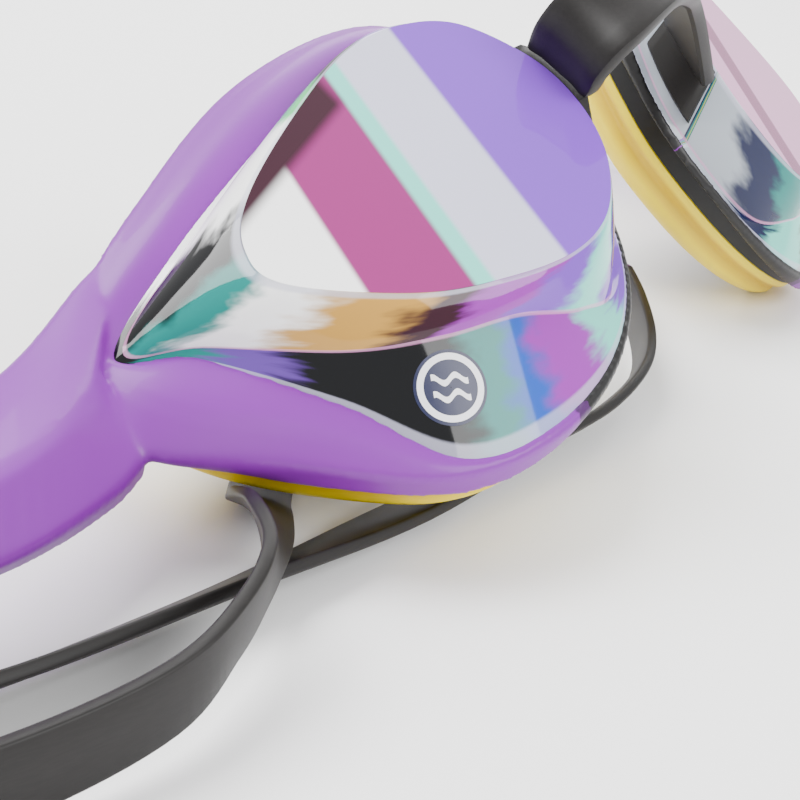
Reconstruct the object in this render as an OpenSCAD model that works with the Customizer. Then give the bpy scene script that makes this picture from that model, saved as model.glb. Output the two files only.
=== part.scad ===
// Racing swim goggles lying folded on a table, front panels up. Millimetres, +Z up.

/* [Eyecup] */
// Wall of the moulded lens
lens_wall = 1.6; // [1.2:0.1:2.0]
// Height of the black carrier ring under the lens
rim_h = 2.7; // [2.0:0.1:3.0]
// Depth of the eye seal on the nose side
seal_depth_nose = 6.5; // [6:0.5:7]
// Depth of the eye seal on the temple side
seal_depth_temple = 6.0; // [5:0.5:6.5]
// Radius of the round badge on the lower facet
badge_r = 3.4; // [2.5:0.1:4]

/* [Bridge] */
// Width of the flexible nose strip
bridge_w = 10; // [8:0.5:11]
// Thickness of the nose strip
bridge_t = 2.0; // [1.6:0.1:2.6]

/* [Head bands] */
// Width of each head band
band_w = 6.0; // [5:0.5:6.5]
// Thickness of each head band
band_t = 1.2; // [1.0:0.1:1.4]
// Length of the rear clip along the bands
clip_len = 16; // [12:1:20]

/* [Pose] */
// Height of the near eyecup's panel centre above the table
near_z = 30.0; // [30:0.1:31]
// Height of the far eyecup's panel centre above the table
far_z = 29.9; // [29.8:0.1:31]

/* [Hidden] */

STEPS = 4;                  // spline points between two control points of a ring
GAP = 0.1;                  // play between parts that are moulded or clipped together
BASE_N = -9.5;              // level of the lens seat, below the panel
RIM_TOP = BASE_N - GAP;
RIM_BOTTOM = RIM_TOP - rim_h;
SEAL_TOP = RIM_BOTTOM - 0.05;
ORIGIN = [-17.8, 11.7, 0];   // point on the table that becomes the part's origin

PURPLE = [0.62, 0.32, 0.75];
BLACK = [0.12, 0.11, 0.11];
YELLOW = [0.88, 0.78, 0.15];
MIRROR = [0.55, 0.45, 0.80];
WHITE = [0.95, 0.95, 0.97];

// The eyecup's rings run anticlockwise from the nose: a to the nose, b up, n to the front.
PANEL = [[22, 3], [22, 11], [18, 19], [11, 21], [3, 19], [-8, 12], [-18, 4],
         [-22, -2], [-21, -7], [-11, -13], [-2, -15], [6, -15], [13, -12], [19, -5]];
CREASE = [[23, -2, -8], [23, 8, -7.5], [20, 17, -6], [14, 23, -3], [4, 21, -3], [-10, 13, -3],
          [-24, 4, -4], [-34, -3, -6], [-28, -6, -5.5], [-18, -13, -4], [-10, -16, -3],
          [-2, -17, -3], [6, -18, -5], [14, -15, -8]];
LENS_EDGE = [[23.5, -2, -8.5], [24, 8, -8], [21, 18, -6.5], [14, 23.5, -3.5], [4, 21.5, -3.5],
             [-10, 13.5, -3.5], [-25, 4.5, -4.5], [-35, -3, -6.5], [-29, -6.5, -6], [-20, -16, -7],
             [-13, -25, -8.5], [-3, -26, -8.5], [8, -22, -8.5], [17, -14, -8.5]];
SHOULDER = [[24, -2, -9], [24.5, 8, -9], [22, 19, -7.5], [16, 26, -5], [7, 28, -5], [-8, 23, -4.5],
            [-22, 14, -5], [-35, 3, -6], [-39, -10, -8], [-27, -18, -9], [-15, -26, -9],
            [-3, -27, -9], [8, -23, -9], [17.5, -14.5, -9]];
BASE = [[23.5, -2], [23.5, 8], [20, 17.5], [12, 22.5], [2, 21], [-13, 14.5], [-28, 3.5],
        [-34, -5], [-31, -12], [-23, -19.5], [-13, -25.5], [-3, -26], [8, -21.5], [17, -13.5]];
BADGE_STATION = 10;         // control point of the rings that the badge sits at
BADGE_DOWN = 0.42;          // how far down the lower facet
BADGE_LIFT = 0.25;          // stands clear of the facet's crown

// Temple arms: top edge, soft crease and lower edge of each section, then the way to the back
// at the root and at the fork.
RIGHT_ARM = [[[-26.5, -12, 21], [-23, -27, 15], [-18, -29, 10.5]],
             [[-28, -17, 19.5], [-23, -30, 15], [-19, -34, 9.5]],
             [[-30, -28, 16], [-25, -40, 14.5], [-22.5, -44, 9.5]],
             [[-34, -43, 14], [-30, -53, 14.5], [-29, -55, 10]],
             [[-38, -55, 13.5], [-35, -62, 14.5], [-34.5, -63, 10]],
             [[-42, -68, 13.5], [-40, -72.5, 14.5], [-40, -73.5, 10]],
             [[-46, -78.5, 13], [-44.5, -80.5, 14], [-44.5, -81, 10]],
             [[-49, -85.5, 10.5], [-48, -86.5, 11.5], [-48, -87, 5.5]],
             [[-51, -88.5, 9.5], [-50, -89, 10], [-50, -89, 1.5]]];
RIGHT_BACK = [[-0.1, 0.3, -0.95], [-0.88, 0.47, 0]];
LEFT_ARM = [[[40, 98, 35], [54, 106, 22], [62, 104, 12]],
            [[41, 104, 31], [53, 111, 20], [60, 109, 11]],
            [[40, 114, 25], [50, 119, 16], [54, 117, 8]],
            [[36, 124, 20], [42, 128, 14], [44, 127, 5]],
            [[28, 132, 16], [31, 136, 12], [32, 135, 3]],
            [[17, 137, 13], [18, 139, 11], [18, 139, 2]],
            [[7.5, 138, 10.5], [7.5, 140, 9.5], [7.5, 140, 1.5]]];
LEFT_BACK = [[-0.64, 0.19, -0.75], [0, -1, 0]];
ARM_T = [3.6, 2.4];         // thickness at the root and at the fork

// Band stations: x, y, z of the middle and the lean of the width from upright, in degrees.
UPPER_LINE = [[-47, -91, 4.2, 0], [-53, -106, 4.2, 0], [-66, -114, 4.2, 0], [-82, -115, 4.2, 0],
              [-95, -107, 4.2, 0], [-98, -92, 4.2, 0], [-92, -78, 4.2, 0], [-80, -72.5, 4.2, 0],
              [-71, -72.5, 4.2, 0], [-62, -72.5, 4.2, 0], [-53, -72.5, 4.2, 0], [-43, -70, 4, -20],
              [-33, -61, 3.2, -40], [-22, -50, 2.8, -46], [-9, -34, 2.6, -50], [4, -16, 2, -66],
              [16, 1, 2.6, -46], [23, 11, 2.8, -38], [28, 21, 3.4, -22], [30, 30, 4, -6],
              [30, 42, 4.2, 0], [29, 52, 4.2, 0]];
UPPER_TAIL = [[29, 52, 4.2, 0], [24, 59, 4.2, 0], [20, 67, 4.2, 0], [17, 80, 4.2, 0],
              [14, 93, 4.2, 0], [9, 108, 4.2, 0], [5, 121, 4.2, 0], [3.4, 132.5, 4.2, 0]];
LOWER_LINE = [[-51, -92, 4.2, 0], [-56, -103, 4.2, 0], [-67, -110, 4.2, 0], [-80, -111, 4.2, 0],
              [-91, -104, 4.2, 0], [-94, -92, 4.2, 0], [-89, -81, 4.2, 0], [-80, -76.5, 4.2, 0],
              [-71, -76.5, 4.2, 0], [-62, -76.5, 4.2, 0], [-53, -76.5, 4.2, 0], [-41, -76, 4.2, 0],
              [-29, -70, 4.2, 5], [-18, -61, 4.4, 8], [-10, -52, 5.4, 4], [-7, -45, 7, -4],
              [-6, -39, 8.4, 2], [-7, -33, 8.4, 35], [-8.5, -26, 5.6, 65], [-9.5, -20, 2.6, 82],
              [-10, -14, 1, 90]];
LOWER_TAIL = [[-10, -13.9, 1, 90], [-9.5, -5, 1, 90], [-8, 8, 1.4, 80], [-8, 22, 2.8, 50],
              [-9, 38, 4.2, 15], [-12, 58, 4.2, 0], [-13, 80, 4.2, 0], [-13, 104, 4.2, 0],
              [-12, 122, 4.2, 0], [-8, 134, 4.2, 0], [0.6, 139, 4.2, 0]];

// Middle line and width direction of the nose strip, from the near foot to the far foot.
BRIDGE_LINE = [[11.5, 20, 38], [12, 17, 41], [14, 17, 44.5], [18, 24, 48.5], [21, 32, 48.5],
               [24, 41, 46], [29.5, 52.5, 37]];
BRIDGE_FROM = [-0.7, 0.65, 0.3];
BRIDGE_TO = [-0.65, 0.4, 0.65];

NEAR_TURN = [18, -13, 43];
NEAR_AT = [0, 0, near_z];
FAR_TURN = [41, 8, 65];
FAR_AT = [45, 73, far_z];

function unit(v) = v / norm(v);
function mix(a, b, t) = a + (b - a) * t;
function blend4(p0, p1, p2, p3, t) =
    0.5 * (2 * p1 + (p2 - p0) * t + (2 * p0 - 5 * p1 + 4 * p2 - p3) * t * t
           + (3 * p1 - p0 - 3 * p2 + p3) * t * t * t);
function at_level(p, n) = [for (q = p) [q[0], q[1], n]];
function lift(p, d) = [for (q = p) q + [0, 0, d]];

// Closed smooth curve through control points.
function ring(p) = [for (i = [0 : len(p) - 1], k = [0 : STEPS - 1])
    let (m = len(p))
    blend4(p[(i + m - 1) % m], p[i], p[(i + 1) % m], p[(i + 2) % m], k / STEPS)];

// Open smooth curve through control points.
function curve(p, steps) = [for (i = [0 : len(p) - 2], k = [0 : (i == len(p) - 2 ? steps : steps - 1)])
    blend4(p[max(i - 1, 0)], p[i], p[i + 1], p[min(i + 2, len(p) - 1)], k / steps)];

// Ring moved outwards by d in its own a-b plane.
function outset(r, d) = [for (i = [0 : len(r) - 1])
    let (m = len(r), t = r[(i + 1) % m] - r[(i + m - 1) % m], q = unit([t[1], -t[0], 0]))
    r[i] + d * q];

// Closed solid through rings of equal length: a tube closed on itself, or one with end caps.
module loft(rings, closed) {
    m = len(rings[0]);
    k = len(rings);
    last = closed ? k - 1 : k - 2;
    sides = [for (j = [0 : last], i = [0 : m - 1])
        let (a = j * m + i, b = j * m + (i + 1) % m, c = ((j + 1) % k) * m + (i + 1) % m,
             d = ((j + 1) % k) * m + i)
        each [[a, b, c], [a, c, d]]];
    caps = closed ? [] : [[for (i = [m - 1 : -1 : 0]) i], [for (i = [0 : m - 1]) (k - 1) * m + i]];
    polyhedron(points = [for (r = rings) each r], faces = concat(sides, caps), convexity = 8);
}

module near() { translate(NEAR_AT) rotate(NEAR_TURN) children(); }
module far() { translate(FAR_AT) rotate(FAR_TURN) mirror([1, 0, 0]) children(); }

// One value per ring point, changing from the nose side to the temple side.
function side_mix(nose, temple) = [for (p = ring(BASE))
    mix(temple, nose, min(max((p[0] + 12) / 30, 0), 1))];
function with_levels(r, levels) = [for (i = [0 : len(r) - 1]) [r[i][0], r[i][1], levels[i]]];

module cup_lens() {
    outer = [at_level(ring(PANEL), 0), ring(CREASE), ring(LENS_EDGE)];
    inner = [outset(ring(LENS_EDGE), -lens_wall), outset(ring(CREASE), -lens_wall),
             lift(outset(outer[0], -lens_wall), -lens_wall)];
    loft(concat(outer, inner), false);
}

module cup_frame() {
    edge = ring(LENS_EDGE);
    shoulder = ring(SHOULDER);
    crest = [for (i = [0 : len(edge) - 1])
        mix(edge[i], shoulder[i], 0.5) + [0, 0, 0.2 + 0.1 * norm(shoulder[i] - edge[i])]];
    hem = side_mix(BASE_N - 0.2, RIM_BOTTOM + 0.4);
    base = ring([for (p = BASE) [p[0], p[1], BASE_N]]);
    loft([lift(outset(edge, GAP), 0.2), crest, shoulder, with_levels(outset(base, 0.9), hem),
          with_levels(outset(base, -0.5), hem), outset(base, -0.52), outset(base, -1.5),
          lift(outset(edge, -0.5), -GAP), lift(outset(edge, GAP), -GAP)], true);
}

module cup_rim() {
    base = ring([for (p = BASE) [p[0], p[1], RIM_TOP]]);
    loft([outset(base, -0.8), lift(outset(base, -0.8), -rim_h),
          lift(outset(base, -3.6), -rim_h), outset(base, -3.6)], true);
}

module cup_gasket() {
    base = ring([for (p = BASE) [p[0], p[1], SEAL_TOP]]);
    depth = side_mix(seal_depth_nose, seal_depth_temple);
    function level(part) = [for (d = depth) SEAL_TOP - part * d];
    loft([outset(base, -1.1), with_levels(outset(base, -0.9), level(0.2)),
          with_levels(outset(base, -1.8), level(0.36)), with_levels(outset(base, -1.6), level(0.6)),
          with_levels(outset(base, -3.4), level(0.95)), with_levels(outset(base, -4.4), level(1)),
          with_levels(outset(base, -6.6), level(0.94)), with_levels(outset(base, -5.8), level(0.6)),
          outset(base, -3.4)], true);
}

// Badge seated on the lower facet, square to it.
module cup_badge() {
    crease = ring(CREASE);
    edge = ring(LENS_EDGE);
    at = BADGE_STATION * STEPS;
    fall = unit(edge[at] - crease[at]);
    normal = unit(cross(crease[at + 2] - crease[at - 2], fall));
    up = normal[2] > 0 ? normal : -normal;
    side = cross(up, fall);
    seat = mix(crease[at], edge[at], BADGE_DOWN) + BADGE_LIFT * up;
    multmatrix([[side[0], -fall[0], up[0], seat[0]], [side[1], -fall[1], up[1], seat[1]],
                [side[2], -fall[2], up[2], seat[2]], [0, 0, 0, 1]])
        cylinder(r = badge_r, h = 0.25, $fn = 48);
}

// Plane band bent over three edges: front edge points of every section, and a thickness.
module arm(sections, backs, thick, turn) {
    pts = curve(sections, 4);
    rings = [for (i = [0 : len(pts) - 1])
        let (s = pts[i], part = i / (len(pts) - 1),
             back = unit(mix(backs[0], backs[1], part)) * mix(thick[0], thick[1], part),
             loop = [s[1], s[2], s[2] + back, s[1] + back, s[0] + back, s[0]])
        [for (j = [0 : 5]) loop[turn > 0 ? j : 5 - j]]];
    loft(rings, false);
}

// Flat band swept along stations of middle point and lean.
module strap(stations, w, t) {
    pts = curve(stations, 4);
    rings = [for (i = [0 : len(pts) - 1])
        let (s = pts[i], p = [s[0], s[1], s[2]], lo = pts[max(i - 1, 0)], hi = pts[min(i + 1, len(pts) - 1)],
             run = unit([hi[0] - lo[0], hi[1] - lo[1], hi[2] - lo[2]]),
             out = unit(cross([0, 0, 1], run)), up = cross(run, out),
             wide = cos(s[3]) * up + sin(s[3]) * out, thin = cross(run, wide))
        [p + wide * w / 2 + thin * t / 2, p + wide * w / 2 - thin * t / 2,
         p - wide * w / 2 - thin * t / 2, p - wide * w / 2 + thin * t / 2]];
    loft(rings, false);
}

// Upright prong that carries the arm's end on to one band.
module prong(from, to) {
    run = unit(to - from);
    half = [unit(cross([0, 0, 1], run)) * (band_t / 2 + 0.3), [0, 0, band_w / 2 + 0.4]];
    loft([for (p = [from, to]) [p + half[0] + half[1], p + half[0] - half[1],
                                p - half[0] - half[1], p - half[0] + half[1]]], false);
}

module right_frame() {
    color(PURPLE) resize([0, 0, 0]) union() {
        near() cup_frame();
        arm(RIGHT_ARM, RIGHT_BACK, ARM_T, 1);
        prong([-50.6, -88.6, 4.2], [-51, -91.5, 4.2]);
        prong([-50.2, -88.6, 4.2], [-47.4, -90.4, 4.2]);
    }
}
module right_lens() { color(MIRROR) near() cup_lens(); }
module right_rim() { color(BLACK) near() cup_rim(); }
module right_gasket() { color(YELLOW) near() cup_gasket(); }
module right_badge() { color(WHITE) near() cup_badge(); }
module left_frame() {
    color(PURPLE) resize([0, 0, 0]) union() {
        far() cup_frame();
        arm(LEFT_ARM, LEFT_BACK, ARM_T, -1);
        prong([8, 138.6, 4.2], [3.8, 133.4, 4.2]);
        prong([8, 138.9, 4.2], [1.2, 139.1, 4.2]);
    }
}
module left_lens() { color(MIRROR) far() cup_lens(); }
module left_rim() { color(BLACK) far() cup_rim(); }
module left_gasket() { color(YELLOW) far() cup_gasket(); }
module left_badge() { color(WHITE) far() cup_badge(); }

module nose_bridge() {
    pts = curve(BRIDGE_LINE, 4);
    color(BLACK) loft([for (i = [0 : len(pts) - 1])
        let (run = unit(pts[min(i + 1, len(pts) - 1)] - pts[max(i - 1, 0)]),
             part = i / (len(pts) - 1), raw = mix(BRIDGE_FROM, BRIDGE_TO, part),
             wide = unit(raw - run * (raw * run) * min(1, 4 * part, 4 * (1 - part))),
             thin = unit(cross(run, wide)))
        [pts[i] + wide * bridge_w / 2 + thin * bridge_t / 2, pts[i] + wide * bridge_w / 2 - thin * bridge_t / 2,
         pts[i] - wide * bridge_w / 2 - thin * bridge_t / 2, pts[i] - wide * bridge_w / 2 + thin * bridge_t / 2]],
        false);
}
// Foot that clips over the lens's nose wall, in the cup's own frame.
module cup_foot() {
    panel = at_level(ring(PANEL), 0);
    crease = ring(CREASE);
    from = [for (i = [0 : 5]) mix(panel[i], crease[i], 0.04)];
    to = [for (i = [0 : 5]) mix(panel[i], crease[i], 0.78)];
    out = [0.98, 0.05, 0.12];
    loft([for (i = [0 : 5]) [to[i] + 0.15 * out, to[i] + 1.9 * out, from[i] + 1.9 * out,
                             from[i] + 0.15 * out]], false);
}
module right_bridge_foot() { color(BLACK) near() cup_foot(); }
module left_bridge_foot() { color(BLACK) far() cup_foot(); }

module upper_band() { color(BLACK) strap(UPPER_LINE, band_w, band_t); }
module lower_band() { color(BLACK) strap(LOWER_LINE, band_w, band_t); }
module upper_tail() { color(PURPLE) strap(UPPER_TAIL, band_w, band_t); }
module lower_tail() { color(PURPLE) strap(LOWER_TAIL, band_w, band_t); }

// The rear clip holds both bands where they run straight and side by side.
CLIP_MID = [-66, -74.5];
CLIP_W = 9.4;
CLIP_H = 8.4;
SLOT_T = band_t + 0.5;
SLOT_FLOOR = 0.9;
LANE = 2.0;                 // distance of each band's middle from the clip's middle
module clip_body() {
    color(BLACK) difference() {
        translate([CLIP_MID[0] - clip_len / 2, CLIP_MID[1] - CLIP_W / 2, 0]) cube([clip_len, CLIP_W, CLIP_H]);
        for (side = [-1, 1])
            translate([CLIP_MID[0] - clip_len, CLIP_MID[1] + side * LANE - SLOT_T / 2, SLOT_FLOOR])
                cube([2 * clip_len, SLOT_T, CLIP_H]);
    }
}
module clip_cap() {
    color(BLACK) translate([CLIP_MID[0], CLIP_MID[1], CLIP_H + 0.05])
        translate([-clip_len / 2, -CLIP_W / 2, 0]) cube([clip_len, CLIP_W, 1.4]);
}

translate(-ORIGIN) {
    right_frame();
    right_lens();
    right_rim();
    right_gasket();
    right_badge();
    left_frame();
    left_lens();
    left_rim();
    left_gasket();
    left_badge();
    nose_bridge();
    right_bridge_foot();
    left_bridge_foot();
    upper_band();
    lower_band();
    upper_tail();
    lower_tail();
    clip_body();
    clip_cap();
}
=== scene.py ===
import bpy, math
import numpy as np
from mathutils import Matrix, Vector, Euler
from mathutils.bvhtree import BVHTree

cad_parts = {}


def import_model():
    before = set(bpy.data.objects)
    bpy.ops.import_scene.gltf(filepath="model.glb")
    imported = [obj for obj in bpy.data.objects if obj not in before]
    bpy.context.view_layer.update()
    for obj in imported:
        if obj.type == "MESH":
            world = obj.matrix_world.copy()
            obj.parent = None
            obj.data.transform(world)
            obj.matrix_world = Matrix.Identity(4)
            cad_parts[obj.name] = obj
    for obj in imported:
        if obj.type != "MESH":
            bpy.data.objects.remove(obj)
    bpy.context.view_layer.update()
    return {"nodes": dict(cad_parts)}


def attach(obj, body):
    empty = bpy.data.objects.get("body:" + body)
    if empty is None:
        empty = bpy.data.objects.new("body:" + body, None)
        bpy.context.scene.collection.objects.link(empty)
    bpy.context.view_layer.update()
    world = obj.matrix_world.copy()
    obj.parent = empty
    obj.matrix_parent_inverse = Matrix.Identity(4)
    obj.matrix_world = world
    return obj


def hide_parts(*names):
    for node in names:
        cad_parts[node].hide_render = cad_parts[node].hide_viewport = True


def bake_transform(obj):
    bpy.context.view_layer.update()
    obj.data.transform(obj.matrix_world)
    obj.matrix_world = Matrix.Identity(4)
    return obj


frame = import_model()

MM = 0.001
SHIFT = np.array([17.8, -11.7, 0.0])      # table frame of the numbers below to the row frame, mm

# ---------------------------------------------------------------- shape data (mm)
BASE_N = -9.5                             # level of the lens seat, below the panel
RIM_H = 2.7                               # height of the carrier rim
SEAL_DEPTHS = (6.5, 6.0)                  # eye seal at the nose and at the temple
FACET_BOW = .5                            # how far the upper facet swells between its edges
RING_STEPS = 12                           # spline points between two stations of a ring
NEAR_AT = (0, 0, 30.0)
FAR_AT = (45, 73, 29.9)
BADGE_STATION = 10                        # station of the cup's rings that the badge sits at
BADGE_DOWN = .42                          # how far down the lower facet
BADGE_R = 3.4
# The eyecup's rings run anticlockwise from the nose: a to the nose, b up, n to the front.
PANEL = [[22, 3], [22, 11], [18, 19], [11, 21], [3, 19], [-8, 12], [-18, 4],
         [-22, -2], [-21, -7], [-11, -13], [-2, -15], [6, -15], [13, -12], [19, -5]]
CREASE = [[23, -2, -8], [23, 8, -7.5], [20, 17, -6], [14, 23, -3], [4, 21, -3], [-10, 13, -3],
          [-24, 4, -4], [-34, -3, -6], [-28, -6, -5.5], [-18, -13, -4], [-10, -16, -3],
          [-2, -17, -3], [6, -18, -5], [14, -15, -8]]
EDGE = [[23.5, -2, -8.5], [24, 8, -8], [21, 18, -6.5], [14, 23.5, -3.5], [4, 21.5, -3.5],
             [-10, 13.5, -3.5], [-25, 4.5, -4.5], [-35, -3, -6.5], [-29, -6.5, -6], [-20, -16, -7],
             [-13, -25, -8.5], [-3, -26, -8.5], [8, -22, -8.5], [17, -14, -8.5]]
SHOULDER = [[24, -2, -9], [24.5, 8, -9], [22, 19, -7.5], [16, 26, -5], [7, 28, -5], [-8, 23, -4.5],
            [-22, 14, -5], [-35, 3, -6], [-39, -10, -8], [-27, -18, -9], [-15, -26, -9],
            [-3, -27, -9], [8, -23, -9], [17.5, -14.5, -9]]
BASE = [[23.5, -2], [23.5, 8], [20, 17.5], [12, 22.5], [2, 21], [-13, 14.5], [-28, 3.5],
        [-34, -5], [-31, -12], [-23, -19.5], [-13, -25.5], [-3, -26], [8, -21.5], [17, -13.5]]
RIGHT_ARM = [[[-26.5, -12, 21], [-23, -27, 15], [-18, -29, 10.5]],
             [[-28, -17, 19.5], [-23, -30, 15], [-19, -34, 9.5]],
             [[-30, -28, 16], [-25, -40, 14.5], [-22.5, -44, 9.5]],
             [[-34, -43, 14], [-30, -53, 14.5], [-29, -55, 10]],
             [[-38, -55, 13.5], [-35, -62, 14.5], [-34.5, -63, 10]],
             [[-42, -68, 13.5], [-40, -72.5, 14.5], [-40, -73.5, 10]],
             [[-46, -78.5, 13], [-44.5, -80.5, 14], [-44.5, -81, 10]],
             [[-49, -85.5, 10.5], [-48, -86.5, 11.5], [-48, -87, 5.5]],
             [[-51, -88.5, 9.5], [-50, -89, 10], [-50, -89, 1.5]]]
LEFT_ARM = [[[40, 98, 35], [54, 106, 22], [62, 104, 12]],
            [[41, 104, 31], [53, 111, 20], [60, 109, 11]],
            [[40, 114, 25], [50, 119, 16], [54, 117, 8]],
            [[36, 124, 20], [42, 128, 14], [44, 127, 5]],
            [[28, 132, 16], [31, 136, 12], [32, 135, 3]],
            [[17, 137, 13], [18, 139, 11], [18, 139, 2]],
            [[7.5, 138, 10.5], [7.5, 140, 9.5], [7.5, 140, 1.5]]]
UPPER = [[-47, -91, 4.2, 0], [-53, -106, 4.2, 0], [-66, -114, 4.2, 0], [-82, -115, 4.2, 0],
              [-95, -107, 4.2, 0], [-98, -92, 4.2, 0], [-92, -78, 4.2, 0], [-80, -72.5, 4.2, 0],
              [-71, -72.5, 4.2, 0], [-62, -72.5, 4.2, 0], [-53, -72.5, 4.2, 0], [-43, -70, 4, -20],
              [-33, -61, 3.2, -40], [-22, -50, 2.8, -46], [-9, -34, 2.6, -50], [4, -16, 2, -66],
              [16, 1, 2.6, -46], [23, 11, 2.8, -38], [28, 21, 3.4, -22], [30, 30, 4, -6],
              [30, 42, 4.2, 0], [29, 52, 4.2, 0]]
UPPER_TAIL = [[29, 52, 4.2, 0], [24, 59, 4.2, 0], [20, 67, 4.2, 0], [17, 80, 4.2, 0],
              [14, 93, 4.2, 0], [9, 108, 4.2, 0], [5, 121, 4.2, 0], [3.4, 132.5, 4.2, 0]]
LOWER = [[-51, -92, 4.2, 0], [-56, -103, 4.2, 0], [-67, -110, 4.2, 0], [-80, -111, 4.2, 0],
              [-91, -104, 4.2, 0], [-94, -92, 4.2, 0], [-89, -81, 4.2, 0], [-80, -76.5, 4.2, 0],
              [-71, -76.5, 4.2, 0], [-62, -76.5, 4.2, 0], [-53, -76.5, 4.2, 0], [-41, -76, 4.2, 0],
              [-29, -70, 4.2, 5], [-18, -61, 4.4, 8], [-10, -52, 5.4, 4], [-7, -45, 7, -4],
              [-6, -39, 8.4, 2], [-7, -33, 8.4, 35], [-8.5, -26, 5.6, 65], [-9.5, -20, 2.6, 82],
              [-10, -14, 1, 90]]
LOWER_TAIL = [[-10, -13.9, 1, 90], [-9.5, -5, 1, 90], [-8, 8, 1.4, 80], [-8, 22, 2.8, 50],
              [-9, 38, 4.2, 15], [-12, 58, 4.2, 0], [-13, 80, 4.2, 0], [-13, 104, 4.2, 0],
              [-12, 122, 4.2, 0], [-8, 134, 4.2, 0], [0.6, 139, 4.2, 0]]
BRIDGE = [[11.5, 20, 38], [12, 17, 41], [14, 17, 44.5], [18, 24, 48.5], [21, 32, 48.5],
               [24, 41, 46], [29.5, 52.5, 37]]
BRIDGE_FROM = [-0.7, 0.65, 0.3]
BRIDGE_TO = [-0.65, 0.4, 0.65]
NEAR_TURN = [18, -13, 43]
FAR_TURN = [41, 8, 65]

def turn(x, y, z):
    return np.array(Euler([math.radians(v) for v in (x, y, z)], "XYZ").to_matrix())

CUPS = {"right": (turn(*NEAR_TURN), np.array(NEAR_AT), np.array([1.0, 1, 1])),
        "left": (turn(*FAR_TURN), np.array(FAR_AT), np.array([-1.0, 1, 1]))}

def world(side, p):
    r, t, m = CUPS[side]
    return (np.asarray(p, float) * m) @ r.T + t

# ---------------------------------------------------------------- curves
def blend4(p0, p1, p2, p3, t):
    return .5 * (2 * p1 + (p2 - p0) * t
            + (2 * p0 - 5 * p1 + 4 * p2 - p3) * t * t
            + (3 * p1 - p0 - 3 * p2 + p3) * t ** 3)

def ring(pts, steps=RING_STEPS):
    p = np.array(pts, float)
    return np.array([blend4(p[i - 1], p[i], p[(i + 1) % len(p)], p[(i + 2) % len(p)], k / steps)
                     for i in range(len(p)) for k in range(steps)])

def curve(pts, steps=8):
    p = np.array(pts, float)
    n = len(p)
    out = []
    for i in range(n - 1):
        for k in range(steps + (i == n - 2)):
            out.append(blend4(p[max(i - 1, 0)], p[i], p[i + 1], p[min(i + 2, n - 1)], k / steps))
    return np.array(out)

# Ring of an outline at one level.
def flat(pts, n):
    r = ring([(q[0], q[1], 0) for q in pts])
    r[:, 2] = n
    return r

# Ring moved outwards by d in its own plane.
def outset(r, d):
    r = np.asarray(r, float)
    t = np.roll(r, -1, 0) - np.roll(r, 1, 0)
    q = np.stack([t[:, 1], -t[:, 0], 0 * t[:, 0]], 1)
    q /= np.linalg.norm(q, axis=1)[:, None]
    return r + d * q

def lift(r, d):
    return r + np.array([0, 0, d])

# ---------------------------------------------------------------- mesh helpers
def add_mesh(name, verts, faces, body, replaces, attrs=None, angle=35):
    me = bpy.data.meshes.new(name)
    me.from_pydata([tuple(v) for v in (np.asarray(verts) + SHIFT) * MM], [], faces)
    me.update()
    for key, val in (attrs or {}).items():
        val = np.asarray(val, np.float32)
        a = me.attributes.new(key, "FLOAT" if val.ndim == 1 else "FLOAT_VECTOR", "POINT")
        a.data.foreach_set("value" if val.ndim == 1 else "vector", val.ravel())
    o = bpy.data.objects.new(name, me)
    bpy.context.scene.collection.objects.link(o)
    me.shade_smooth()
    if angle:
        me.set_sharp_from_angle(angle=math.radians(angle))
    if body:
        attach(o, body)
    if replaces:
        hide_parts(*replaces)
    return o

def grid_faces(rows, m, closed_rows, closed_cols=True, flip=False):
    f = []
    for j in range(rows if closed_rows else rows - 1):
        for i in range(m if closed_cols else m - 1):
            a, b = j * m + i, j * m + (i + 1) % m
            c, d = ((j + 1) % rows) * m + (i + 1) % m, ((j + 1) % rows) * m + i
            f.append((a, d, c, b) if not flip else (a, b, c, d))
    return f

def lens_mesh(side):
    p, c, e = flat(PANEL, 0), ring(CREASE), ring(EDGE)
    mid = np.array([0, 2, 0.0])
    rows, v = [], []
    for k in (.02, .3, .6, .85, .95, .985):
        rows.append(mid + (p - mid) * k)
        v.append(k)
    rows.append(outset(p, -.12))
    v.append(1.0)
    rows.append(lift(p, -.14))
    v.append(1.02)
    for t in (.08, .25, .5, .75, .93):
        r = p + (c - p) * t
        rows.append(outset(r, FACET_BOW * math.sin(math.pi * t)))
        v.append(1 + t)
    rows.append(c)
    v.append(2.0)
    for t in (.05, .25, .5, .75, .9):
        r = c + (e - c) * t
        rows.append(r)
        v.append(2 + t)
    rows.append(e)
    v.append(3.0)
    rows.append(lift(outset(e, -.1), -.5))
    v.append(3.1)
    inner = [lift(outset(e, -1.4), -.4), outset(c, -1.5), lift(outset(p, -1.6), -1.6),
             lift(mid + (p - mid) * .5, -1.6), lift(mid + (p - mid) * .02, -1.6)]
    for r in inner:
        rows.append(r)
        v.append(3.5)
    m = len(p)
    loc = np.concatenate(rows)
    u = np.tile(np.arange(m) / RING_STEPS, len(rows))
    faces = grid_faces(len(rows), m, False, flip=(side == "left"))
    cap0, cap1 = tuple(range(m)), tuple((len(rows) - 1) * m + i for i in range(m - 1, -1, -1))
    faces += [cap0, cap1] if side == "right" else [cap0[::-1], cap1[::-1]]
    return world(side, loc), faces, {"u": u, "v": np.repeat(v, m), "loc": loc}

def spline_rows(rows, steps, closed=True):
    n = len(rows)
    out = []
    for j in range(n if closed else n - 1):
        g = (lambda i: rows[i % n]) if closed else (lambda i: rows[min(max(i, 0), n - 1)])
        for k in range(steps):
            out.append(blend4(g(j - 1), g(j), g(j + 1), g(j + 2), k / steps))
    if not closed:
        out.append(rows[-1])
    return out

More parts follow.
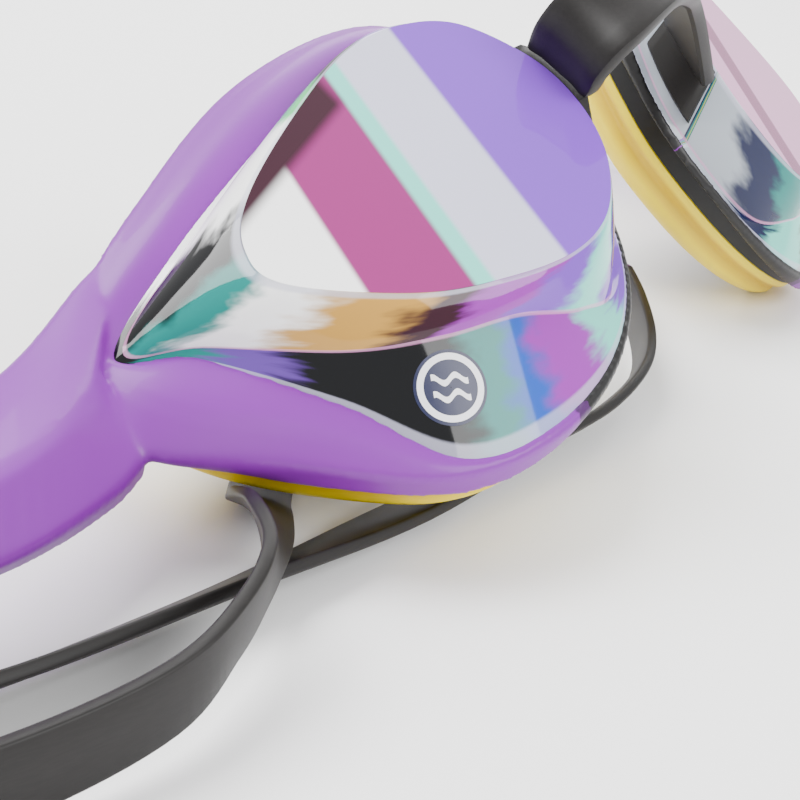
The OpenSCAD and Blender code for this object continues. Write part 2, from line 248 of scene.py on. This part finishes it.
def side_mix(nose, temple):
    a = ring([(q[0], q[1], 0) for q in BASE])[:, 0]
    return temple + (nose - temple) * np.clip((a + 12) / 30, 0, 1)

def at(r, n):
    r = r.copy()
    r[:, 2] = n
    return r

def torus(side, rows):
    m = len(rows[0])
    loc = np.concatenate(rows)
    return world(side, loc), grid_faces(len(rows), m, True, flip=(side == "left")), {
        "u": np.tile(np.arange(m) / RING_STEPS,
                     len(rows)), "loc": loc, "v": np.repeat(np.arange(len(rows)) / len(rows), m)}

def frame_rows():
    e, s = ring(EDGE), ring(SHOULDER)
    d = np.linalg.norm(s - e, axis=1)[:, None]
    crest = (e + s) / 2 + np.array([0, 0, 1]) * (.2 + .1 * d)
    b = flat(BASE, BASE_N)
    hem = side_mix(BASE_N - .2, BASE_N - .1 - RIM_H + .4)
    low = (s + at(outset(b, .9), hem)) / 2
    return [lift(outset(e, .1), -.1), lift(outset(e, .1), .15), lift(outset(e, .25), .25),
            e * .75 + s * .25 + np.array([0, 0, 1]) * (.2 + .07 * d), crest,
            e * .2 + s * .8 + np.array([0, 0, 1]) * (.12 + .06 * d), s, low, lift(at(outset(b, .9),
                    hem), .25),
            at(outset(b, .75), hem), at(outset(b, -.4), hem), at(outset(b, -.5), hem + .1), outset(b,
                    -.52), outset(b, -1.5), lift(outset(e, -.5), -.1)]

def loft_sections(secs):
    m = len(secs[0])
    verts = np.concatenate(secs)
    faces = grid_faces(len(secs), m, False)
    faces += [tuple(range(m)), tuple((len(secs) - 1) * m + i for i in range(m - 1, -1, -1))]
    return verts, faces

def unit(v):
    return v / np.linalg.norm(v)

def arm_sections(sections, backs, thick=(3.4, 2.2)):
    pts = curve([np.array(s).ravel() for s in sections], 6).reshape(-1, 3, 3)
    out = []
    for i, (T, K, B) in enumerate(pts):
        part = i / (len(pts) - 1)
        back = unit(np.array(backs[0]) * (1 - part) + np.array(backs[1]) * part) * (
            thick[0] * (1 - part) + thick[1] * part)
        r = .12
        out.append(np.array([T + back * r, T + (K - T) * .06, T * .5 + K * .5 - back * .05,
                             K + (T - K) * .08 - back * .01, K + (B - K) * .12,
                             B + (K - B) * .08, B + back * r, B + back * .85, B + (K - B) * .1 + back,
                             K + back, T + (K - T) * .08 + back, T + back * .85]))
    return out

def strap(stations, w=6.0, t=1.2, steps=8, r=.25):
    pts = curve(stations, steps)
    out = []
    for i in range(len(pts)):
        p, lean = pts[i, :3], math.radians(pts[i, 3])
        run = unit(pts[min(i + 1, len(pts) - 1), :3] - pts[max(i - 1, 0), :3])
        o = unit(np.cross((0, 0, 1), run))
        up = np.cross(run, o)
        W = math.cos(lean) * up + math.sin(lean) * o
        T = np.cross(run, W)
        out.append(section(p, W, T, w, t, r))
    return out

# Flat band's cross-section with rounded edges.
def section(p, W, T, w, t, r):
    h, q = w / 2, t / 2
    return np.array([p + W * x + T * y for x,
                     y in ((h - r, q), (h - .3 * r, q - .3 * r), (h, q - r), (h, r - q), (h - .3 * r,
                     .3 * r - q), (h - r, -q),
                                                    (r - h, -q), (.3 * r - h, .3 * r - q), (-h,
                                                            r - q), (-h, q - r), (.3 * r - h,
                                                            q - .3 * r), (r - h, q))])

# ---------------------------------------------------------------- materials
def lin(c):
    return tuple(((x / 255) / 12.92 if x <= 10 else ((x / 255 + .055) / 1.055) ** 2.4) for x in c) + (1.0,)

class Mat:
    def __init__(self, name, color=(128, 128, 128), rough=.4, spec=.5, coat=0.0, sss=0.0, metal=0.0):
        self.m = bpy.data.materials.new(name)
        self.m.use_nodes = True
        self.nt = self.m.node_tree
        self.p = self.nt.nodes["Principled BSDF"]
        self.set("Base Color", lin(color))
        self.set("Roughness", rough)
        self.set("Specular IOR Level", spec)
        self.set("Coat Weight", coat)
        self.set("Coat Roughness", .04)
        self.set("Metallic", metal)
        if sss:
            self.set("Subsurface Weight", sss)
            self.set("Subsurface Radius", (.004, .003, .001))
            self.set("Subsurface Scale", 1.0)
    def set(self, key, value):
        if hasattr(value, "links"):
            self.nt.links.new(value, self.p.inputs[key])
        else:
            self.p.inputs[key].default_value = value
    def node(self, kind, **inputs):
        n = self.nt.nodes.new(kind)
        for k, val in inputs.items():
            self.feed(n, int(k[1:]) if k[0] == "i" and k[1:].isdigit() else k, val)
        return n
    def feed(self, n, key, val):
        if hasattr(val, "links"):
            self.nt.links.new(val, n.inputs[key])
        else:
            n.inputs[key].default_value = val
    def attr(self, name, out="Fac"):
        n = self.nt.nodes.new("ShaderNodeAttribute")
        n.attribute_name = name
        return n.outputs[out]
    def xyz(self, vec):
        n = self.node("ShaderNodeSeparateXYZ", i0=vec)
        return n.outputs[0], n.outputs[1], n.outputs[2]
    def math(self, op, a, b=0.0, clamp=False):
        n = self.node("ShaderNodeMath", i0=a, i1=b)
        n.operation = op
        n.use_clamp = clamp
        return n.outputs[0]
    def step(self, x, lo, hi, smooth=True):
        n = self.node("ShaderNodeMapRange", i0=x, i1=lo, i2=hi)
        n.interpolation_type = "SMOOTHSTEP" if smooth else "LINEAR"
        return n.outputs[0]
    def mix(self, f, a, b, mode="MIX"):
        n = self.nt.nodes.new("ShaderNodeMix")
        n.data_type = "RGBA"
        n.blend_type = mode
        self.feed(n, 0, f)
        self.feed(n, 6, a if hasattr(a, "links") or len(a) == 4 else lin(a))
        self.feed(n, 7, b if hasattr(b, "links") or len(b) == 4 else lin(b))
        return n.outputs[2]
    def noise(self, scale, detail=3.0, vec=None):
        n = self.node("ShaderNodeTexNoise", Scale=scale, Detail=detail)
        if vec is not None:
            self.nt.links.new(vec, n.inputs["Vector"])
        return n.outputs[0]
    def bump(self, height, strength=.1, dist=.0001):
        n = self.node("ShaderNodeBump", Height=height, Strength=strength, Distance=dist)
        self.set("Normal", n.outputs[0])

# The mirror coating's colour is painted as broad bands: partly the coating's own tint and partly painted
# reflections of the studio, with a painted white softbox reflection on the near panel; each cup gets its
# own painted bands. A band is (where it ends, colour), and it runs into
# the next over a short softened edge. Places round the cup are in stations:
# 0 nose, 3 brow, 7 temple, 10 chin.
WHITE, GREY, SILVER = (250, 250, 250), (190, 190, 210), (160, 168, 178)
LAVENDER, ORCHID, PINK = (118, 62, 186), (146, 40, 164), (218, 150, 196)
MAGENTA, PLUM, NIGHT = (135, 38, 105), (48, 14, 30), (3, 4, 7)
TEAL, SEA, GREEN, OLIVE = (0, 118, 112), (110, 205, 190), (70, 190, 110), (86, 92, 24)
AMBER, BLUE, NAVY, VIOLET = (186, 140, 60), (30, 80, 180), (10, 20, 60), (95, 60, 150)

REFLECTION_LOOKS = {
    "right": {
        "panel": [(-13.5, WHITE), (-3.5, MAGENTA), (-1.5, SEA), (7, GREY), (30, LAVENDER)],
        "wall": [(3.6, LAVENDER), (4.5, NIGHT), (5.0, GREEN), (6.2, WHITE), (7.1, NIGHT), (7.7, TEAL),
                 (8.4, WHITE), (9.2, AMBER),
                 (9.8, PLUM), (10.8, ORCHID), (11.6, LAVENDER), (12.4, SEA), (14, LAVENDER)],
        "lower": [(3.6, LAVENDER), (4.6, TEAL), (6.4, WHITE), (7.4, NIGHT), (8.1, TEAL), (8.6, VIOLET),
                  (10.2, NIGHT), (10.7, TEAL),
                  (11.1, BLUE), (11.9, ORCHID), (12.6, SEA), (14, LAVENDER)]},
    "left": {
        "panel": [(8, PINK), (14, MAGENTA), (30, PINK)],
        "wall": [(2, SILVER), (6, NAVY), (9, TEAL), (10.4, AMBER), (11.4, GREEN), (12.4, TEAL),
                 (13.2, NAVY), (14, SILVER)],
        "lower": [(2, SILVER), (6, VIOLET), (9, TEAL), (11.4, OLIVE), (12.4, SEA), (13.2, NAVY),
                  (14, SILVER)]}}
SOFT = .35                                # width of the softened edge between two bands

def bands(k, x, looks, soft):
    out = None
    start = None
    for end, colour in looks:
        if out is None:
            out = k.mix(0.0, colour, colour)
        else:
            out = k.mix(k.step(x, start - soft / 2, start + soft / 2), out, colour)
        start = end
    return out

def lens_material(side):
    k = Mat("mirror_" + side, rough=.06, spec=.3, coat=.12)
    u, v = k.attr("u"), k.attr("v")
    a, b, _ = k.xyz(k.attr("loc", "Vector"))
    place = k.node("ShaderNodeCombineXYZ", i0=k.math("MULTIPLY", u, 1.6),
                   i1=k.math("MULTIPLY", v, 3.5), i2=0.0).outputs[0]
    waver = k.math("MULTIPLY", k.math("SUBTRACT", k.noise(1.0, 3.0, place), .5), .9)
    wandering = k.math("ADD", u, waver)
    # Painted reflections: the coating's bands differ per cup, with white where a softbox is painted in.
    look = REFLECTION_LOOKS[side]
    panel = bands(k, k.math("SUBTRACT", a, k.math("MULTIPLY", b, .15)), look["panel"], .8)
    # Painted dark reflection in the brow corner of the near panel.
    if side == "right":
        corner = k.math("SUBTRACT", b, k.math("MULTIPLY", a, .6))
        brow = k.math("MULTIPLY", k.step(corner, 12, 14), k.step(a, -1, -3), True)
        panel = k.mix(brow, panel, PLUM)
    wall = bands(k, wandering, look["wall"], SOFT)
    low = bands(k, wandering, look["lower"], SOFT)
    # Painted glint: the lens's clear edge rim is lightened towards grey.
    low = k.mix(k.math("MULTIPLY", k.step(v, 2.86, 2.9), .55), low, GREY)
    facets = k.mix(k.step(v, 1.98, 2.0), wall, low)
    # Painted highlight along the crease between the upper and lower facets.
    crease_glint = k.math("MULTIPLY", k.step(v, 1.955, 1.975), k.step(v, 2.03, 2.01))
    facets = k.mix(k.math("MULTIPLY", crease_glint, .55), facets, PINK)
    col = k.mix(k.step(v, .999, 1.003), panel, facets)
    # Painted highlight line along the bevel at the panel's edge.
    panel_edge_glint = k.math("MULTIPLY", k.step(v, 1.0, 1.01), k.step(v, 1.09, 1.05))
    col = k.mix(k.math("MULTIPLY", panel_edge_glint, .55), col, GREY)
    k.set("Base Color", col)
    return k.m

def black_or_purple(name, purple=(122, 26, 152), black=(14, 13, 14), rough=.42):
    k = Mat(name, rough=rough, spec=.35, coat=.08)
    u = k.attr("u")
    dark = k.math("ADD", k.step(u, 11.2, 11.4), k.step(u, 2.9, 2.75), True)
    k.set("Base Color", k.mix(dark, purple, black))
    k.bump(k.noise(2500.0), .03)
    return k.m

def simple(name, color, rough, spec=.5, coat=0.0, sss=0.0, grain=1800.0, strength=.05):
    k = Mat(name, color, rough, spec, coat, sss)
    tone = k.noise(60.0, 2.0)
    k.set("Base Color", k.mix(k.step(tone, .3, .7), tuple(max(0, c - 5) for c in color), color))
    k.bump(k.noise(grain), strength)
    return k.m

def gasket_material():
    k = Mat("seal", rough=.42, spec=.4, sss=.12)
    v = k.attr("v")
    # Painted shade: the seal is darker yellow in its groove.
    groove_shade = k.math("MULTIPLY", k.step(v, .12, .18), k.step(v, .36, .26))
    k.set("Base Color", k.mix(groove_shade, (240, 212, 6), (206, 170, 2)))
    k.bump(k.noise(1200.0), .04)
    return k.m

M_FRAME = {s: black_or_purple("shell_" + s) for s in ("right", "left")}
M_BLACK = simple("carrier", (12, 11, 11), .45, spec=.35)
M_RUBBER = simple("black_silicone", (20, 17, 16), .48, spec=.3)
M_TAIL = simple("purple_silicone", (70, 22, 80), .45)
M_SEAL = gasket_material()
M_WHITE = simple("badge_white", (240, 240, 246), .3)
M_NAVY = simple("badge_ring", (12, 20, 62), .3)

def paint(o, m):
    o.data.materials.clear()
    o.data.materials.append(m)
    return o

# ---------------------------------------------------------------- eyecups
# Joins a frame's overlapping closed pieces into one skin and softens the seams.
def voxel(obj, size, smooth=6):
    r = obj.modifiers.new("union", "REMESH")
    r.mode = "VOXEL"
    r.voxel_size = size * MM
    c = obj.modifiers.new("soften", "SMOOTH")
    c.factor = .5
    c.iterations = smooth
    dg = bpy.context.evaluated_depsgraph_get()
    me = bpy.data.meshes.new_from_object(obj.evaluated_get(dg))
    obj.modifiers.clear()
    obj.data = me
    return obj

def frame_and_arm(side, sections, backs, prongs):
    v1, f1, _ = torus(side, spline_rows(frame_rows(), 2))
    secs = arm_sections(sections, backs)
    if side == "left":
        secs = [s[::-1] for s in secs]
    v2, f2 = loft_sections(secs)
    verts, faces = [v1, v2], list(f1) + [tuple(i + len(v1) for i in f) for f in f2]
    base = len(v1) + len(v2)
    for p, q in prongs:
        p, q = np.array(p, float), np.array(q, float)
        run = unit(q - p)
        o = unit(np.cross((0, 0, 1), run))
        v3, f3 = loft_sections([section(x, np.array([0, 0, 1.0]), -o, 6.8, 1.8, .4) for x in (p, q)])
        verts.append(v3)
        faces += [tuple(i + base for i in f) for f in f3]
        base += len(v3)
    me = bpy.data.meshes.new("tmp")
    me.from_pydata([tuple(v) for v in (np.concatenate(verts) + SHIFT) * MM], [], faces)
    o = bpy.data.objects.new("vis_%s_frame" % side, me)
    bpy.context.scene.collection.objects.link(o)
    bpy.context.view_layer.update()
    voxel(o, .34, 5)
    me = o.data
    co = np.zeros(len(me.vertices) * 3)
    me.vertices.foreach_get("co", co)
    co = co.reshape(-1, 3) / MM - SHIFT
    r, t, m = CUPS[side]
    loc = ((co - t) @ r) * m
    ring_xy = ((ring(EDGE) + ring(SHOULDER)) / 2)[::2, :2]
    u = np.empty(len(loc))
    for i in range(0, len(loc), 4000):
        d = ((loc[i:i + 4000, None, :2] - ring_xy[None]) ** 2).sum(2)
        u[i:i + 4000] = d.argmin(1) / 6.0
    a = me.attributes.new("u", "FLOAT", "POINT")
    a.data.foreach_set("value", u.astype(np.float32))
    me.shade_smooth()
    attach(o, side + "_cup")
    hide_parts(side + "_frame")
    paint(o, M_FRAME[side])
    return o

def cup(side):
    body = side + "_cup"
    v, f, at_ = lens_mesh(side)
    paint(add_mesh("vis_%s_lens" % side, v, f, body, [side + "_lens"], at_, 28),
          lens_material(side))
    b = flat(BASE, BASE_N - .1)
    rows = [outset(b, -1.0), outset(b, -.8), lift(outset(b, -.8), -2.6), lift(outset(b, -1.0), -2.7),
            lift(outset(b, -3.6), -2.7), outset(b, -3.6)]
    v, f, at_ = torus(side, rows)
    paint(add_mesh("vis_%s_rim" % side, v, f, body, [side + "_rim"], at_, 40), M_BLACK)
    top = BASE_N - .1 - RIM_H - .05
    dep = side_mix(*SEAL_DEPTHS)
    lv = lambda part: top - part * dep
    b = flat(BASE, top)
    rows = [outset(b, -1.3), at(outset(b, -.95), lv(.06)), at(outset(b, -.9), lv(.2)),
            at(outset(b, -1.75), lv(.36)), at(outset(b, -1.5), lv(.6)),
            at(outset(b, -2.2), lv(.8)), at(outset(b, -3.4), lv(.95)), at(outset(b, -4.6),
                    lv(1)), at(outset(b, -6.4), lv(.95)), at(outset(b, -6.4), lv(.85)), at(outset(b,
                    -5.8), lv(.6)), at(outset(b, -3.6), lv(.02))]
    v, f, at_ = torus(side, spline_rows(rows, 3))
    paint(add_mesh("vis_%s_gasket" % side, v, f, body, [side + "_gasket"], at_, None),
          M_SEAL)

cup("right")
cup("left")
frame_and_arm("right", RIGHT_ARM, ((-.1, .3, -.95), (-.88, .47, 0)),
              [((-50.6, -88.6, 4.2), (-51, -91.5, 4.2)), ((-50.2, -88.6, 4.2), (-47.4, -90.4, 4.2))])
frame_and_arm("left", LEFT_ARM, ((-.64, .19, -.75), (0, -1, 0)),
              [((8, 138.6, 4.2), (3.8, 133.4, 4.2)), ((8, 138.9, 4.2), (1.2, 139.1, 4.2))])

# ---------------------------------------------------------------- badge: a plain ring round two waves
def badge(side):
    c, e = ring(CREASE), ring(EDGE)
    i = BADGE_STATION * RING_STEPS
    fall = unit(e[i] - c[i])
    normal = unit(np.cross(c[i + 6] - c[i - 6], fall))
    normal = normal if normal[2] > 0 else -normal
    t = np.stack([np.cross(normal, fall), -fall, normal], 1)
    c = c[i] + (e[i] - c[i]) * BADGE_DOWN + normal * .3
    lens = bpy.data.objects["vis_%s_lens" % side]
    tree = BVHTree.FromPolygons([q.co[:] for q in lens.data.vertices],
                                [q.vertices[:] for q in lens.data.polygons])
    r, _, m = CUPS[side]
    out = Vector(r @ (normal * m)).normalized()

    def seat(flat, z):
        pts = world(side, flat @ t.T + c + normal * 2)
        done = []
        for p in pts:
            hit = tree.ray_cast(Vector((p + SHIFT) * MM), -out, .01)[0]
            done.append(np.array(hit + out * z * MM) / MM - SHIFT)
        return np.array(done)

    def ink(name, rows, z, m, closed, replaces=None):
        n = len(rows[0])
        top = np.concatenate([np.c_[q, 0 * q[:, 0]] for q in rows])
        flip = side == "left"
        v = np.concatenate([seat(top, z), seat(top, -.05)])
        f = grid_faces(len(rows), n, False, closed, flip)
        f += [tuple(i + len(top) for i in g[::-1]) for g in f]
        paint(add_mesh("vis_%s_%s" % (side, name), v, f, side + "_cup", replaces, None,
                       30), m)

    ang = np.linspace(0, 2 * math.pi, 64, endpoint=False)
    circle = np.stack([np.cos(ang), np.sin(ang)], 1)
    rings = lambda *radii: [circle * q for q in radii]
    ink("badge_disc", rings(.05, .8, 1.6, 2.4, 3.0, BADGE_R), .06, M_NAVY, True, [side + "_badge"])
    ink("badge_ring", rings(2.5, 2.8, 3.1), .1, M_WHITE, True)
    for k, height in enumerate((-.75, .75)):
        x = np.linspace(-1.7, 1.7, 32)
        y = height + .32 * np.sin(x * 3.0)
        ink("badge_wave_%d" % k, [np.stack([x, y - .28], 1), np.stack([x, y + .28], 1)], .1, M_WHITE,
            False)

badge("right")
badge("left")

# ---------------------------------------------------------------- nose strip and its feet
def bridge():
    pts = curve(BRIDGE, 10)
    out = []
    w0, w1 = np.array(BRIDGE_FROM), np.array(BRIDGE_TO)
    for i in range(len(pts)):
        part = i / (len(pts) - 1)
        run = unit(pts[min(i + 1, len(pts) - 1)] - pts[max(i - 1, 0)])
        raw = w0 * (1 - part) + w1 * part
        W = unit(raw - run * (raw @ run) * min(1, 4 * part, 4 * (1 - part)))
        T = unit(np.cross(run, W))
        h = 5.0
        q = 1.0
        xs = [(-h, .35), (-h + .25, .85), (-h + .8, 1.0), (-2.6, .72), (2.6, .72), (h - .8, 1.0),
              (h - .25, .85), (h, .35), (h, -.6), (h - .4, -1.0), (-h + .4, -1.0), (-h, -.6)]
        out.append(np.array([pts[i] - W * x + T * y for x, y in xs]))
    v, f = loft_sections([s[::-1] for s in out])
    return v, f
v, f = bridge()
o = add_mesh("vis_nose_bridge", v, f, None, ["nose_bridge"], None, 40)
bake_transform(o)
paint(o, M_RUBBER)

def foot(side):
    p, c = flat(PANEL, 0), ring(CREASE)
    idx = np.arange(0, 16)
    a, b = (p + (c - p) * .03)[idx], (p + (c - p) * .8)[idx]
    out = np.array([.98, .05, .12])
    secs = []
    for i in range(len(idx)):
        k = 1.0 if 0 < i < len(idx) - 1 else .75
        secs.append(np.array([b[i] + .15 * out, b[i] + 1.4 * k * out,
                              b[i] * .96 + a[i] * .04 + 1.85 * k * out,
                              a[i] * .96 + b[i] * .04 + 1.85 * k * out, a[i] + 1.5 * k * out,
                              a[i] + .15 * out]))
    if side == "right":
        secs = [s[::-1] for s in secs]
    v, f = loft_sections([world(side, s) for s in secs])
    paint(add_mesh("vis_%s_foot" % side, v, f, side + "_cup", [side + "_bridge_foot"],
                   None, 40), M_RUBBER)
foot("right")
foot("left")

# ---------------------------------------------------------------- head bands
def band(name, stations, m, ends=None):
    v, f = loft_sections([s[::-1] for s in strap(stations)])
    o = add_mesh("vis_" + name, v, f, "right_cup" if ends is None else None, [name], None, 50)
    if ends:
        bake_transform(o)
    return paint(o, m)
band("upper_band", UPPER, M_RUBBER)
band("lower_band", LOWER, M_RUBBER)
band("upper_tail", UPPER_TAIL, M_TAIL, ((29, 52, 4.2), (3.4, 132.5, 4.2)))
band("lower_tail", LOWER_TAIL, M_TAIL, ((-10, -13.9, 1.0), (0.6, 139, 4.2)))

# ---------------------------------------------------------------- rear clip
for name in ("clip_body", "clip_cap"):
    o = frame["nodes"][name]
    o.data.materials.clear()
    o.data.materials.append(M_BLACK)
    bv = o.modifiers.new("edge", "BEVEL")
    bv.width = .0005
    bv.segments = 3
    bv.limit_method = "ANGLE"

# ---------------------------------------------------------------- stage, light, camera
def plane(name, size, loc, rot=(0, 0, 0)):
    me = bpy.data.meshes.new(name)
    h = size / 2
    me.from_pydata([(-h, -h, 0), (h, -h, 0), (h, h, 0), (-h, h, 0)], [], [(0, 1, 2, 3)])
    o = bpy.data.objects.new(name, me)
    bpy.context.scene.collection.objects.link(o)
    o.location = loc
    o.rotation_euler = rot
    return o
floor = plane("floor", 8.0, (0, 0, 0))
kf = Mat("floor", (250, 250, 250), .6, .2)
kf.set("Base Color", kf.mix(kf.step(kf.noise(3.0), .3, .7), (249, 249, 249), (251, 251, 251)))
paint(floor, kf.m)

def area(name, loc, target, size, power, color=(1, 1, 1)):
    d = bpy.data.lights.new(name, "AREA")
    d.shape = "RECTANGLE"
    d.size, d.size_y = size
    d.energy = power
    d.color = color
    o = bpy.data.objects.new(name, d)
    bpy.context.scene.collection.objects.link(o)
    o.location = loc
    o.rotation_euler = (Vector(target) - Vector(loc)).to_track_quat("-Z", "Y").to_euler()
    return o
area("key", (-.45, .1, .75), (.02, 0, .02), (.6, .6), 15.0)
area("fill", (.6, -.35, .55), (.02, 0, .02), (.5, .5), 7.0)
area("back", (.1, .8, .6), (.02, 0, .02), (.8, .4), 8.0)
w = bpy.data.worlds.new("studio")
bpy.context.scene.world = w
w.use_nodes = True
w.node_tree.nodes["Background"].inputs[0].default_value = (1, 1, 1, 1)
w.node_tree.nodes["Background"].inputs[1].default_value = 1.15

cam = bpy.data.cameras.new("camera")
cam.lens = 59.06
cam.sensor_width = 36
cam.clip_start = .01
cam.clip_end = 20
co = bpy.data.objects.new("camera", cam)
bpy.context.scene.collection.objects.link(co)
back = unit(np.array([0, -.899, .438]))
right = np.array([.982, .084, .171])
right = unit(right - back * (right @ back))
up = np.cross(back, right)
m = Matrix.Identity(4)
for i in range(3):
    m[i][0], m[i][1], m[i][2] = right[i], up[i], back[i]
eye = (np.array([1.375, -122.014, 64.98]) + SHIFT) * MM
m[0][3], m[1][3], m[2][3] = eye
co.matrix_world = m
bpy.context.scene.camera = co
